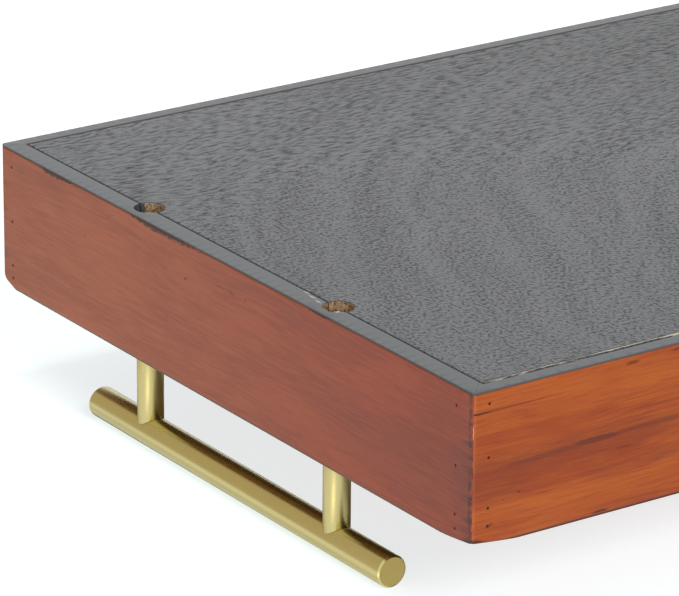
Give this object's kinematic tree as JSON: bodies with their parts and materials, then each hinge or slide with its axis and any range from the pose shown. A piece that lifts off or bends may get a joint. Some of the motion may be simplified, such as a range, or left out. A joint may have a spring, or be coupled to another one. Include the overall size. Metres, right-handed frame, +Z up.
{
  "type": "wooden tray with handles",
  "caption": "Rectangular wooden serving tray with a mitred frame, a flush bottom panel and a brass bar handle on posts at each end.",
  "frame": {"origin": "centre of the underside, on the plane that the tray rests on", "axes": "+X along the side rails, +Y across the tray along the end rails, +Z up towards the handles"},
  "size_m": [0.47, 0.322, 0.0983],
  "materials": {
    "end_wood": "satin reddish brown stain over close grain",
    "side_wood": "satin orange brown stain over streaked grain",
    "panel": "black paint underneath over open-pored plywood",
    "handle_brass": "satin brushed pale gold",
    "fastener_steel": "bright zinc plate",
    "filler": "dark matt wood filler"
  },
  "bodies": {
    "root": {"end_rail_left": "end_wood", "end_rail_right": "end_wood", "side_rail_front": "side_wood", "side_rail_back": "side_wood", "bottom_panel": "panel", "handle_bar_left": "handle_brass", "handle_bar_right": "handle_brass", "post_left_front": "handle_brass", "post_left_back": "handle_brass", "post_right_front": "handle_brass", "post_right_back": "handle_brass", "post_studs_left": "fastener_steel", "post_studs_right": "fastener_steel", "handle_screws_left": "fastener_steel", "handle_screws_right": "fastener_steel", "corner_brads_front_left": "fastener_steel", "corner_brads_front_right": "fastener_steel", "corner_brads_back_left": "fastener_steel", "corner_brads_back_right": "fastener_steel", "brad_fillers_front_left": "filler", "brad_fillers_front_right": "filler", "brad_fillers_back_left": "filler", "brad_fillers_back_right": "filler"}
  },
  "joints": []
}
